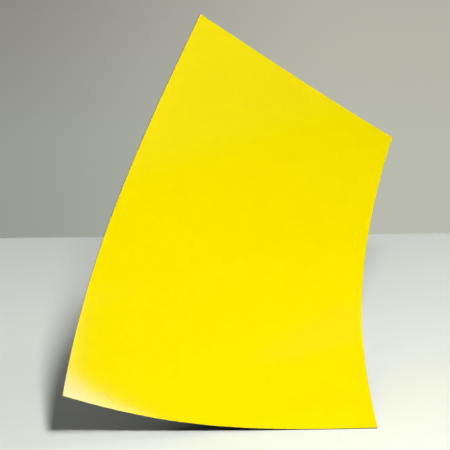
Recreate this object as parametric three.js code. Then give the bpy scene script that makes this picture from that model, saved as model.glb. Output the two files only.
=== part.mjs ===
// A thin two-ply sheet, a coloured face on a dark core, standing in a shallow bend on the right part of its lower edge.
// Lengths are in millimetres. +X is to the right, +Y to the back and +Z up. The origin is on the surface that the
// sheet stands on, at the middle of the sheet's footprint.
import * as THREE from "three";

const { degToRad, mapLinear } = THREE.MathUtils;

// The flat sheet, before it is bent.
const SHEET_WIDTH = 300;
const SHEET_HEIGHT = 400;
const FACE_THICKNESS = 0.1;
const CORE_THICKNESS = 0.7;

// The bend. The sheet curves in one direction only, which climbs from its lower right corner to its upper left corner.
// The lines square to that direction, the rulings, stay straight. Both corners are flat, and between them the front
// is hollow: the radii stand at even spaces from the lower right corner to the upper left one, and the curvature
// changes evenly from each to the next.
const BEND_DIRECTION = degToRad(127);
const BEND_RADII = [Infinity, 150, 270, 600, Infinity];

// The stance: the turn of the whole sheet about the upright, its lean to the back, and its turn in its own plane.
const TURN = degToRad(36.5);
const LEAN = degToRad(25);
const ROLL = degToRad(-33);

// The most that one flat strip between two rulings may span, and the step in which the bend is summed up.
const STRIP_WIDTH = 8;
const BEND_STEP = 0.5;

const FACE_FINISH = { color: 0xfbe600, roughness: 0.3, metalness: 0 };
const CORE_FINISH = { color: 0x2b2519, roughness: 0.7, metalness: 0 };

// A point of the flat sheet as the distance along the bend direction and the distance along the ruling.
const alongBend = (x, y) => x * Math.cos(BEND_DIRECTION) + y * Math.sin(BEND_DIRECTION);
const alongRuling = (x, y) => y * Math.cos(BEND_DIRECTION) - x * Math.sin(BEND_DIRECTION);

function corner(sideways, upwards) {
  const x = (sideways * SHEET_WIDTH) / 2;
  const y = (upwards * SHEET_HEIGHT) / 2;
  return { bend: alongBend(x, y), ruling: alongRuling(x, y) };
}

const LOWER_RIGHT = corner(1, -1);
const LOWER_LEFT = corner(-1, -1);
const UPPER_RIGHT = corner(1, 1);
const UPPER_LEFT = corner(-1, 1);

// The curvature at a distance along the bend direction from the sheet's middle.
function curvature(bend) {
  const last = BEND_RADII.length - 1;
  const place = THREE.MathUtils.clamp(mapLinear(bend, LOWER_RIGHT.bend, UPPER_LEFT.bend, 0, last), 0, last);
  const before = Math.min(Math.floor(place), last - 1);
  return THREE.MathUtils.lerp(1 / BEND_RADII[before], 1 / BEND_RADII[before + 1], place - before);
}

// Where the bent sheet is at that distance: the way gone along the middle's tangent, the rise out of it, and the slope.
function bentProfile(bend) {
  const steps = Math.max(1, Math.ceil(Math.abs(bend) / BEND_STEP));
  const step = bend / steps;
  let slope = 0;
  let along = 0;
  let rise = 0;
  for (let i = 0; i < steps; i++) {
    const turn = curvature((i + 0.5) * step) * step;
    along += Math.cos(slope + turn / 2) * step;
    rise += Math.sin(slope + turn / 2) * step;
    slope += turn;
  }
  return { along, rise, slope };
}

// A point on a ruling of the bent sheet, lifted off the interface of the two plies towards the front.
function bentPoint(profile, ruling, lift) {
  const along = profile.along - lift * Math.sin(profile.slope);
  const rise = profile.rise + lift * Math.cos(profile.slope);
  return new THREE.Vector3(
    along * Math.cos(BEND_DIRECTION) - ruling * Math.sin(BEND_DIRECTION),
    along * Math.sin(BEND_DIRECTION) + ruling * Math.cos(BEND_DIRECTION),
    rise,
  );
}

// The rulings that part the sheet into flat strips. Each of its four corners lies at the end of one.
function rulings() {
  const turns = [LOWER_RIGHT, LOWER_LEFT, UPPER_RIGHT, UPPER_LEFT].sort((a, b) => a.bend - b.bend);
  const places = [turns[0].bend];
  for (let i = 1; i < turns.length; i++) {
    const from = turns[i - 1].bend;
    const span = turns[i].bend - from;
    const strips = Math.ceil(span / STRIP_WIDTH);
    for (let j = 1; j <= strips; j++) places.push(from + (span * j) / strips);
  }
  return places.map((bend) => ({
    profile: bentProfile(bend),
    left: endOfRuling(bend, LOWER_RIGHT, LOWER_LEFT, UPPER_LEFT),
    right: endOfRuling(bend, LOWER_RIGHT, UPPER_RIGHT, UPPER_LEFT),
  }));
}

// Where a ruling ends on the two edges that lead from one corner by the next to the last.
function endOfRuling(bend, first, middle, last) {
  const [from, to] = bend <= middle.bend ? [first, middle] : [middle, last];
  return mapLinear(bend, from.bend, to.bend, from.ruling, to.ruling);
}

// One ply as a closed solid between two lifts. Neighbouring plies share their vertices and triangles at the interface.
function ply(name, backLift, frontLift, finish) {
  const corners = rulings().map(({ profile, left, right }) => ({
    frontLeft: bentPoint(profile, left, frontLift),
    frontRight: bentPoint(profile, right, frontLift),
    backLeft: bentPoint(profile, left, backLift),
    backRight: bentPoint(profile, right, backLift),
  }));
  const triangles = [];
  const quad = (a, b, c, d) => triangles.push(a, b, c, a, c, d);
  const last = corners.length - 1;
  for (let i = 0; i < last; i++) {
    const p = corners[i];
    const n = corners[i + 1];
    if (i === 0) {
      triangles.push(p.frontLeft, n.frontRight, n.frontLeft, p.backLeft, n.backLeft, n.backRight);
    } else if (i === last - 1) {
      triangles.push(p.frontLeft, p.frontRight, n.frontLeft, p.backLeft, n.backLeft, p.backRight);
    } else {
      quad(p.frontLeft, p.frontRight, n.frontRight, n.frontLeft);
      triangles.push(p.backLeft, n.backRight, p.backRight, p.backLeft, n.backLeft, n.backRight);
    }
    quad(p.backLeft, p.frontLeft, n.frontLeft, n.backLeft);
    quad(p.frontRight, p.backRight, n.backRight, n.frontRight);
  }
  const geometry = new THREE.BufferGeometry().setFromPoints(triangles);
  geometry.computeVertexNormals();
  const mesh = new THREE.Mesh(geometry, new THREE.MeshStandardMaterial(finish));
  mesh.name = name;
  return mesh;
}

// Two turned groups stand the sheet up: it lies in its own XY plane with its front towards +Z.
const sheet = new THREE.Group();
sheet.add(ply("yellow_face", 0, FACE_THICKNESS, FACE_FINISH));
sheet.add(ply("dark_core", -CORE_THICKNESS, 0, CORE_FINISH));
sheet.rotation.z = ROLL;

const leaning = new THREE.Group();
leaning.rotation.x = Math.PI / 2 - LEAN;
leaning.add(sheet);

const standing = new THREE.Group();
standing.rotation.z = TURN;
standing.add(leaning);

const root = new THREE.Group();
root.add(standing);

// Set down on the surface, over the middle of its footprint.
const box = new THREE.Box3().setFromObject(root, true);
const middle = box.getCenter(new THREE.Vector3());
standing.position.set(-middle.x, -middle.y, -box.min.z);

export default root;
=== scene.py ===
# A stiff two-ply sheet, a glossy yellow face on a dark core, bent one way and standing on a pale table.
# Lengths are in metres. +X is to the right, +Y to the back and +Z up, with the origin on the table.
import math

import bmesh
import bpy
from mathutils import Matrix, Vector


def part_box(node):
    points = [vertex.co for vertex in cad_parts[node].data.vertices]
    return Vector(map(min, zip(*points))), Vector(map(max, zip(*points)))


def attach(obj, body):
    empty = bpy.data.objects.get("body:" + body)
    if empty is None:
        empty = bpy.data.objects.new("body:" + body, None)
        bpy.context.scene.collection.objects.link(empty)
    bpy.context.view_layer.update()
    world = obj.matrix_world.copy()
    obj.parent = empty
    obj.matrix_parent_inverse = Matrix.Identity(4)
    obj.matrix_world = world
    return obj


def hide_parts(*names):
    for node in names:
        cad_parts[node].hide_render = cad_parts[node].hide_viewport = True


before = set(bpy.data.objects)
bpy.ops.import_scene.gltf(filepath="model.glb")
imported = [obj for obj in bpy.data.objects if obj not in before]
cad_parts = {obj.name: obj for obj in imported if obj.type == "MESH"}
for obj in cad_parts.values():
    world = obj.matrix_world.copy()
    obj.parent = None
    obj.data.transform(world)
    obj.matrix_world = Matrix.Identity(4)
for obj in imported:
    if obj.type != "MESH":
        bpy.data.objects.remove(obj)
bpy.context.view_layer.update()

# The flat sheet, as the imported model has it.
SHEET_WIDTH = 0.300
SHEET_HEIGHT = 0.400
FACE_THICKNESS = 0.0001
CORE_THICKNESS = 0.0007

# The bend: it climbs from the lower right corner to the upper left one, and the rulings square to it stay
# straight. The radii stand at even spaces from the one corner to the other, and the curvature changes evenly
# between them.
BEND_DIRECTION = math.radians(127)
BEND_RADII = (math.inf, 0.150, 0.270, 0.600, math.inf)

# The stance: the turn about the upright, the lean to the back and the turn in the sheet's own plane.
TURN = math.radians(36.5)
LEAN = math.radians(25)
ROLL = math.radians(-33)

# The cut edge: the corners' radius, and how far each arris is worn off.
CORNER_RADIUS = 0.0004
CORNER_SEGMENTS = 3
FACE_ARRIS = 0.00003
BACK_ARRIS = 0.00008

# A nick in the face's lower edge, near its right end.
NICK_PLACE = 0.1272
NICK_WIDTH = 0.0007
NICK_DEPTH = 0.0005

RULING_SPACING = 0.0016
FLAT_PLACE = "flat_place"
BEND_STEP = 0.0005

# Colours, as linear red, green, blue and alpha.
YELLOW_LOW = (0.925, 0.750, 0.0, 1)
YELLOW_HIGH = (0.940, 0.765, 0.0, 1)
YELLOW_CUT = (0.95, 0.85, 0.25, 1)
CORE_LOW = (0.019, 0.015, 0.009, 1)
CORE_HIGH = (0.040, 0.033, 0.021, 1)
CORE_SCUFF = (0.095, 0.080, 0.058, 1)
TABLE_LOW = (0.815, 0.845, 0.785, 1)
TABLE_HIGH = (0.835, 0.865, 0.805, 1)

# The camera looks down on the sheet from in front through a long lens.
CAMERA_PLACE = (-0.0134, -1.5751, 0.6621)
CAMERA_PITCH = math.radians(17.86)
CAMERA_YAW = math.radians(-0.08)
CAMERA_ROLL = math.radians(-0.51)
CAMERA_LENS = 132.56
CAMERA_SENSOR = 36

# The table ends behind the sheet in a soft edge, a little askew. A round backdrop stands far outside it.
TABLE_BACK = 0.4397
TABLE_REACH = 4.5
TABLE_TURN = math.radians(0.5)
EDGE_FADE = 0.008
BACKDROP_RADIUS = 4.6
BACKDROP_LOW = -3.0
BACKDROP_HIGH = 4.0
BACKDROP_SIDES = 96

# The card whose reflection is the glare. Its near edge is an arc that leads into a straight run. Its light
# rises and falls across it, as (distance, share) pairs, and it widens where x is over REFLECTOR_NEAR. White
# glare on yellow only adds blue, so the light is blue.
REFLECTOR_HEIGHT = 1.0
REFLECTOR_START = (0.235, 0.25)
REFLECTOR_RADIUS = 1.7
REFLECTOR_FIRST_HEADING = math.radians(-65)
REFLECTOR_LAST_HEADING = math.radians(-25)
REFLECTOR_SEGMENTS = 16
REFLECTOR_RUN = 1.3
REFLECTOR_RISE = ((-0.008, 0.0), (0.034, 1.0), (0.065, 1.0), (0.150, 0.0))
REFLECTOR_NEAR = 0.65
REFLECTOR_LIGHT = (0.05, 0.20, 1.0, 1)
REFLECTOR_POWER = 30

# Where the backdrop's light changes: across it, and up it.
BACKDROP_DARK_X = -1.1
BACKDROP_LIGHT_X = 0.55
BACKDROP_WARM_LOW = -0.95
BACKDROP_WARM_HIGH = -0.35


def along_bend(x, y):
    return x * math.cos(BEND_DIRECTION) + y * math.sin(BEND_DIRECTION)


def along_ruling(x, y):
    return y * math.cos(BEND_DIRECTION) - x * math.sin(BEND_DIRECTION)


BEND_END = along_bend(-SHEET_WIDTH / 2, SHEET_HEIGHT / 2)


def curvature(bend):
    """The curvature at a distance along the bend direction from the sheet's middle."""
    last = len(BEND_RADII) - 1
    place = min(max((bend + BEND_END) / (2 * BEND_END) * last, 0), last)
    before = min(int(place), last - 1)
    share = place - before
    return (1 - share) / BEND_RADII[before] + share / BEND_RADII[before + 1]


def bent_profile(bend):
    """The way gone along the middle's tangent, the rise out of it and the slope, at that distance."""
    steps = max(1, math.ceil(abs(bend) / BEND_STEP))
    step = bend / steps
    slope = along = rise = 0.0
    for i in range(steps):
        turn = curvature((i + 0.5) * step) * step
        along += math.cos(slope + turn / 2) * step
        rise += math.sin(slope + turn / 2) * step
        slope += turn
    return along, rise, slope


def bent(point, profiles):
    """Where a point of the flat sheet goes when it is bent. Its z is the lift off the plies' interface."""
    bend = along_bend(point.x, point.y)
    ruling = along_ruling(point.x, point.y)
    key = round(bend, 7)
    if key not in profiles:
        profiles[key] = bent_profile(bend)
    along, rise, slope = profiles[key]
    along -= point.z * math.sin(slope)
    return Vector((
        along * math.cos(BEND_DIRECTION) - ruling * math.sin(BEND_DIRECTION),
        along * math.sin(BEND_DIRECTION) + ruling * math.cos(BEND_DIRECTION),
        rise + point.z * math.cos(slope),
    ))


def outline(inset, nicked):
    """The sheet's outline with rounded corners, this far inside its cut edge, as (x, y) points."""
    points = []
    edge_y = inset - SHEET_HEIGHT / 2
    nick = (
        (NICK_PLACE - NICK_WIDTH / 2, edge_y),
        (NICK_PLACE - NICK_WIDTH / 5, edge_y + NICK_DEPTH),
        (NICK_PLACE + NICK_WIDTH / 4, edge_y + NICK_DEPTH * 0.8),
        (NICK_PLACE + NICK_WIDTH / 2, edge_y),
    )
    middle_x = SHEET_WIDTH / 2 - CORNER_RADIUS
    middle_y = SHEET_HEIGHT / 2 - CORNER_RADIUS
    for quarter, (sx, sy) in enumerate(((1, 1), (-1, 1), (-1, -1), (1, -1))):
        if quarter == 3 and nicked:
            points.extend(nick)
        for i in range(CORNER_SEGMENTS + 1):
            angle = (quarter + i / CORNER_SEGMENTS) * math.pi / 2
            reach = CORNER_RADIUS - inset
            x = sx * middle_x + reach * math.cos(angle)
            y = sy * middle_y + reach * math.sin(angle)
            points.append((x, y))
    return points


def flat_ply(levels, nicked):
    """A closed flat ply through these (inset, lift) levels, from its back to its front."""
    bm = bmesh.new()
    rings = [[bm.verts.new((x, y, lift)) for x, y in outline(inset, nicked)] for inset, lift in levels]
    count = len(rings[0])
    for lower, upper in zip(rings, rings[1:]):
        for i in range(count):
            after = (i + 1) % count
            bm.faces.new((lower[i], lower[after], upper[after], upper[i]))
    bm.faces.new(rings[-1])
    bm.faces.new(reversed(rings[0]))
    return bm


def cut_at_rulings(bm):
    """Cuts the flat ply along its rulings, so that it can bend there."""
    direction = Vector((math.cos(BEND_DIRECTION), math.sin(BEND_DIRECTION), 0))
    count = math.floor(BEND_END / RULING_SPACING)
    for i in range(-count, count + 1):
        geometry = bm.verts[:] + bm.edges[:] + bm.faces[:]
        bmesh.ops.bisect_plane(
            bm, geom=geometry, dist=1e-7, plane_co=direction * (i * RULING_SPACING), plane_no=direction
        )


STANDING = (
    Matrix.Rotation(TURN, 4, "Z")
    @ Matrix.Rotation(math.pi / 2 - LEAN, 4, "X")
    @ Matrix.Rotation(ROLL, 4, "Z")
)


def box_middle(low, high):
    return (Vector(low) + Vector(high)) / 2


def ply(name, node, levels, material, nicked=False):
    """One ply of the bent sheet, standing where its CAD node stands. It keeps its flat places."""
    bm = flat_ply(levels, nicked)
    cut_at_rulings(bm)
    flat = bm.verts.layers.float_vector.new(FLAT_PLACE)
    profiles = {}
    for vert in bm.verts:
        vert[flat] = vert.co
        vert.co = STANDING @ bent(vert.co, profiles)
    low = [min(v.co[i] for v in bm.verts) for i in range(3)]
    high = [max(v.co[i] for v in bm.verts) for i in range(3)]
    shift = box_middle(*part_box(node)) - box_middle(low, high)
    bmesh.ops.translate(bm, verts=bm.verts, vec=shift)
    bmesh.ops.recalc_face_normals(bm, faces=bm.faces)
    for face in bm.faces:
        face.smooth = True
    mesh = bpy.data.meshes.new(name)
    bm.to_mesh(mesh)
    bm.free()
    mesh.set_sharp_from_angle(angle=math.radians(25))
    mesh.materials.append(material)
    piece = bpy.data.objects.new(name, mesh)
    bpy.context.scene.collection.objects.link(piece)
    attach(piece, "root")
    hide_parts(node)
    return piece


def add_node(tree, kind, inputs=(), **settings):
    """A new node with these settings. An input is a value, or the socket that it comes from."""
    node = tree.nodes.new(kind)
    for name, value in settings.items():
        setattr(node, name, value)
    for name, value in dict(inputs).items():
        if isinstance(value, bpy.types.NodeSocket):
            tree.links.new(value, node.inputs[name])
        else:
            node.inputs[name].default_value = value
    return node


def maths(tree, operation, first, second=0.0):
    return add_node(tree, "ShaderNodeMath", {0: first, 1: second}, operation=operation).outputs[0]


def noise(tree, vector, scale, detail=2.0, stretch=(1, 1, 1)):
    """Noise from 0 to 1, its features about 1 / scale metres long, drawn out where stretch is under 1."""
    stretched = add_node(tree, "ShaderNodeVectorMath", {0: vector, 1: stretch}, operation="MULTIPLY")
    inputs = {"Vector": stretched.outputs[0], "Scale": scale, "Detail": detail}
    return add_node(tree, "ShaderNodeTexNoise", inputs).outputs["Fac"]


def ranged(tree, value, low, high, to_low, to_high, smooth=False):
    inputs = {"Value": value, "From Min": low, "From Max": high, "To Min": to_low, "To Max": to_high}
    kind = "SMOOTHSTEP" if smooth else "LINEAR"
    return add_node(tree, "ShaderNodeMapRange", inputs, interpolation_type=kind).outputs["Result"]


def mixed(tree, share, first, second):
    """Two colours mixed by share."""
    inputs = {"Factor": share, "A": first, "B": second}
    node = tree.nodes.new("ShaderNodeMix")
    node.data_type = "RGBA"
    for socket in node.inputs:
        if socket.name in inputs and socket.type in ("RGBA", "VALUE") and socket.enabled:
            value = inputs[socket.name]
            if isinstance(value, bpy.types.NodeSocket):
                tree.links.new(value, socket)
            else:
                socket.default_value = value
    return next(socket for socket in node.outputs if socket.enabled)


def bump(tree, height, distance, under=None):
    """A normal roughened by height, which goes from 0 to 1, times distance in metres."""
    inputs = {"Height": height, "Distance": distance, "Strength": 1.0}
    if under is not None:
        inputs["Normal"] = under
    return add_node(tree, "ShaderNodeBump", inputs).outputs["Normal"]


def new_material(name):
    material = bpy.data.materials.new(name)
    material.use_nodes = True
    return material, material.node_tree, material.node_tree.nodes["Principled BSDF"]


def flat_place(tree):
    """The flat sheet's x and y at a point of the bent one, and its lift, as one vector in metres."""
    return add_node(tree, "ShaderNodeAttribute", attribute_name=FLAT_PLACE).outputs["Vector"]


def edge_share(tree, place, width):
    """1 on the cut edge, falling to 0 this far inside it."""
    parts = add_node(tree, "ShaderNodeSeparateXYZ", {0: place})
    from_side = maths(tree, "SUBTRACT", SHEET_WIDTH / 2, maths(tree, "ABSOLUTE", parts.outputs["X"]))
    from_end = maths(tree, "SUBTRACT", SHEET_HEIGHT / 2, maths(tree, "ABSOLUTE", parts.outputs["Y"]))
    return ranged(tree, maths(tree, "MINIMUM", from_side, from_end), 0, width, 1, 0, smooth=True)


def yellow_material():
    """Opaque yellow plastic: a soft gloss over orange peel and slow waves, a little paler at the cut."""
    material, tree, shader = new_material("yellow_gloss")
    place = flat_place(tree)
    cloud = noise(tree, place, 30, detail=3)
    streaks = noise(tree, place, 260, stretch=(1, 0.03, 1))
    speckle = noise(tree, place, 1400)
    shade = maths(tree, "ADD", maths(tree, "MULTIPLY", cloud, 0.5), maths(tree, "MULTIPLY", speckle, 0.5))
    body = mixed(tree, ranged(tree, shade, 0.35, 0.65, 0, 1), YELLOW_LOW, YELLOW_HIGH)
    cut = edge_share(tree, place, 0.00015)
    colour = mixed(tree, maths(tree, "MULTIPLY", cut, 0.1), body, YELLOW_CUT)
    gloss = ranged(tree, maths(tree, "ADD", cloud, streaks), 0.7, 1.3, 0.06, 0.09)
    roughness = maths(tree, "ADD", gloss, maths(tree, "MULTIPLY", cut, 0.2))
    waves = bump(tree, noise(tree, place, 22, detail=1), 0.00003)
    peel = bump(tree, noise(tree, place, 700, detail=1), 0.000002, under=waves)
    tree.links.new(colour, shader.inputs["Base Color"])
    tree.links.new(roughness, shader.inputs["Roughness"])
    tree.links.new(peel, shader.inputs["Normal"])
    shader.inputs["Specular IOR Level"].default_value = 0.2
    return material


def core_material():
    """Dark brown plastic: a fine matt grain, scuffed along its length, with striations across the cut."""
    material, tree, shader = new_material("dark_core_plastic")
    place = flat_place(tree)
    grain = noise(tree, place, 2200)
    cloud = noise(tree, place, 18, detail=4)
    scuffs = ranged(tree, noise(tree, place, 420, stretch=(1, 0.02, 1)), 0.62, 0.78, 0, 1)
    striations = noise(tree, place, 5000, stretch=(1, 1, 0.04))
    shade = maths(tree, "ADD", maths(tree, "MULTIPLY", grain, 0.6), maths(tree, "MULTIPLY", cloud, 0.4))
    body = mixed(tree, ranged(tree, shade, 0.3, 0.7, 0, 1), CORE_LOW, CORE_HIGH)
    cut = edge_share(tree, place, 0.00004)
    scuffed = mixed(tree, maths(tree, "MULTIPLY", scuffs, 0.3), body, CORE_SCUFF)
    sawn = maths(tree, "MULTIPLY", cut, ranged(tree, striations, 0.35, 0.65, 0.0, 0.25))
    colour = mixed(tree, sawn, scuffed, CORE_SCUFF)
    roughness = ranged(tree, maths(tree, "ADD", cloud, grain), 0.7, 1.3, 0.5, 0.66)
    rough_cut = bump(tree, maths(tree, "MULTIPLY", cut, striations), 0.00002)
    normal = bump(tree, grain, 0.000012, under=rough_cut)
    tree.links.new(colour, shader.inputs["Base Color"])
    tree.links.new(roughness, shader.inputs["Roughness"])
    tree.links.new(normal, shader.inputs["Normal"])
    shader.inputs["Specular IOR Level"].default_value = 0.5
    return material


def table_material():
    """A pale laminate table top, whose back edge fades out."""
    material, tree, shader = new_material("table_white")
    place = add_node(tree, "ShaderNodeTexCoord").outputs["Object"]
    cloud = noise(tree, place, 6, detail=3)
    tree.links.new(mixed(tree, cloud, TABLE_LOW, TABLE_HIGH), shader.inputs["Base Color"])
    shader.inputs["Roughness"].default_value = 0.6
    shader.inputs["Specular IOR Level"].default_value = 0.0
    depth = add_node(tree, "ShaderNodeSeparateXYZ", {0: place}).outputs["Y"]
    fade = ranged(tree, depth, TABLE_BACK - EDGE_FADE, TABLE_BACK, 0, 1, smooth=True)
    clear = add_node(tree, "ShaderNodeBsdfTransparent")
    blend = add_node(tree, "ShaderNodeMixShader", {0: fade, 1: shader.outputs[0], 2: clear.outputs[0]})
    tree.links.new(blend.outputs[0], tree.nodes["Material Output"].inputs["Surface"])
    return material


def backdrop_material():
    """A grey backdrop whose soft light and shade are painted into its glow: darker to the left and a little
    darker and warmer upwards.
    """
    material, tree, shader = new_material("backdrop_painted_light")
    tree.nodes.remove(shader)
    place = add_node(tree, "ShaderNodeTexCoord").outputs["Object"]
    parts = add_node(tree, "ShaderNodeSeparateXYZ", {0: place})
    # Painted light: the glow is darker to the left and darker and warmer upwards, as a lamp's falloff would
    # make it.
    aside = ranged(tree, parts.outputs["X"], BACKDROP_DARK_X, BACKDROP_LIGHT_X, 0, 1, smooth=True)
    rise = ranged(tree, parts.outputs["Z"], BACKDROP_WARM_LOW, BACKDROP_WARM_HIGH, 0, 1)
    lower = mixed(tree, aside, (0.310, 0.325, 0.290, 1), (0.485, 0.497, 0.423, 1))
    upper = mixed(tree, aside, (0.245, 0.235, 0.217, 1), (0.462, 0.447, 0.385, 1))
    glow = add_node(tree, "ShaderNodeEmission", {"Color": mixed(tree, rise, lower, upper)})
    tree.links.new(glow.outputs[0], tree.nodes["Material Output"].inputs["Surface"])
    return material


def stage_object(name, mesh, material):
    mesh.materials.append(material)
    surface = bpy.data.objects.new(name, mesh)
    bpy.context.scene.collection.objects.link(surface)
    return surface


def table():
    mesh = bpy.data.meshes.new("table")
    reach = TABLE_REACH
    mesh.from_pydata(
        [(-reach, -reach, 0), (reach, -reach, 0), (reach, TABLE_BACK, 0), (-reach, TABLE_BACK, 0)],
        [],
        [(0, 1, 2, 3)],
    )
    surface = stage_object("table", mesh, table_material())
    surface.rotation_euler.z = TABLE_TURN


def backdrop():
    """A round wall that only the camera sees, so that it throws no light."""
    mesh = bpy.data.meshes.new("backdrop")
    turns = [2 * math.pi * i / BACKDROP_SIDES for i in range(BACKDROP_SIDES)]
    places = []
    for z in (BACKDROP_LOW, BACKDROP_HIGH):
        places.extend((BACKDROP_RADIUS * math.cos(t), BACKDROP_RADIUS * math.sin(t), z) for t in turns)
    count = BACKDROP_SIDES
    faces = [(i, (i + 1) % count, count + (i + 1) % count, count + i) for i in range(count)]
    mesh.from_pydata(places, [], faces)
    surface = stage_object("backdrop", mesh, backdrop_material())
    surface.visible_diffuse = False
    surface.visible_glossy = False
    surface.visible_shadow = False


def reflector_edge():
    """The card's near edge: an arc, and the straight run that goes on from it."""
    start = Vector((*REFLECTOR_START, REFLECTOR_HEIGHT))
    turn = REFLECTOR_LAST_HEADING - REFLECTOR_FIRST_HEADING
    shares = [i / REFLECTOR_SEGMENTS for i in range(REFLECTOR_SEGMENTS + 1)]
    headings = [REFLECTOR_FIRST_HEADING + turn * share for share in shares]
    arms = [REFLECTOR_RADIUS * Vector((math.sin(heading), -math.cos(heading), 0)) for heading in headings]
    edge = [start - arms[0] + arm for arm in arms]
    onward = Vector((math.cos(REFLECTOR_LAST_HEADING), math.sin(REFLECTOR_LAST_HEADING), 0))
    edge.append(edge[-1] + REFLECTOR_RUN * onward)
    return edge


def reflector():
    """A bright card, high to the right, that shows only as the glare on the sheet's lifted corner."""
    mesh = bpy.data.meshes.new("reflector")
    edge = reflector_edge()
    count = len(edge)
    places = []
    shares = []
    for reach, share in REFLECTOR_RISE:
        for i, place in enumerate(edge):
            way = (edge[min(i + 1, count - 1)] - edge[max(i - 1, 0)]).normalized()
            widened = reach * max(1, place.x / REFLECTOR_NEAR)
            places.append(place + Vector((way.y, -way.x, 0)) * widened)
            shares.append(share)
    rows = range(0, count * (len(REFLECTOR_RISE) - 1), count)
    faces = [(r + i, r + i + 1, r + count + i + 1, r + count + i) for r in rows for i in range(count - 1)]
    mesh.from_pydata(places, [], faces)
    mesh.attributes.new("share", "FLOAT", "POINT").data.foreach_set("value", shares)
    material, tree, shader = new_material("reflector_blue")
    tree.nodes.remove(shader)
    share = add_node(tree, "ShaderNodeAttribute", attribute_name="share").outputs["Fac"]
    power = maths(tree, "MULTIPLY", share, REFLECTOR_POWER)
    glow = add_node(tree, "ShaderNodeEmission", {"Color": REFLECTOR_LIGHT, "Strength": power})
    tree.links.new(glow.outputs[0], tree.nodes["Material Output"].inputs["Surface"])
    surface = stage_object("reflector", mesh, material)
    surface.visible_camera = False
    surface.visible_diffuse = False
    surface.visible_shadow = False


def softbox(name, place, width, depth, power, mirrored=False, spread=180):
    """A softbox that faces straight down. The sheet shows its reflection only if it is mirrored."""
    data = bpy.data.lights.new(name, "AREA")
    data.shape = "RECTANGLE"
    data.size = width
    data.size_y = depth
    data.energy = power
    data.spread = math.radians(spread)
    lamp = bpy.data.objects.new(name, data)
    lamp.location = place
    lamp.visible_camera = False
    lamp.visible_glossy = mirrored
    bpy.context.scene.collection.objects.link(lamp)


def camera():
    data = bpy.data.cameras.new("camera")
    data.lens = CAMERA_LENS
    data.sensor_width = CAMERA_SENSOR
    viewer = bpy.data.objects.new("camera", data)
    viewer.matrix_world = (
        Matrix.Translation(CAMERA_PLACE)
        @ Matrix.Rotation(-CAMERA_YAW, 4, "Z")
        @ Matrix.Rotation(math.pi / 2 - CAMERA_PITCH, 4, "X")
        @ Matrix.Rotation(CAMERA_ROLL, 4, "Z")
    )
    bpy.context.scene.collection.objects.link(viewer)
    bpy.context.scene.camera = viewer


camera()

core_levels = ((BACK_ARRIS, -CORE_THICKNESS), (0, BACK_ARRIS - CORE_THICKNESS), (0, 0))
ply("core_sheet", "dark_core", core_levels, core_material())
face_levels = ((0, 0), (0, FACE_THICKNESS - FACE_ARRIS), (FACE_ARRIS, FACE_THICKNESS))
ply("glossy_face", "yellow_face", face_levels, yellow_material(), nicked=True)

table()
backdrop()

reflector()

# The overhead box is the strongest. The key is small and close in front of the sheet, the fills are over the
# table to its left and right, and the far boxes are over the left part of the table, which side views show.
softbox("overhead", (0.90, -1.05, 2.7), 0.36, 0.6, 37)
softbox("key", (0.145, -0.58, 0.87), 0.15, 0.08, 5.6)
softbox("front", (0.90, -1.75, 2.7), 0.4, 0.4, 5)
softbox("left_fill", (-0.60, 0.30, 0.75), 0.4, 0.4, 1.3, mirrored=True)
softbox("right_fill", (0.60, 0.25, 0.8), 0.3, 0.3, 2.2)
softbox("far_left", (-2.0, -0.5, 1.8), 1.2, 1.6, 2.5, spread=110)
softbox("far_left_end", (-3.5, -0.5, 1.8), 1.2, 1.6, 2.5, spread=110)

world = bpy.data.worlds.new("studio")
world.use_nodes = True
world.node_tree.nodes["Background"].inputs["Color"].default_value = (0.02, 0.02, 0.0195, 1)
bpy.context.scene.world = world
bpy.context.scene.view_settings.view_transform = "Standard"
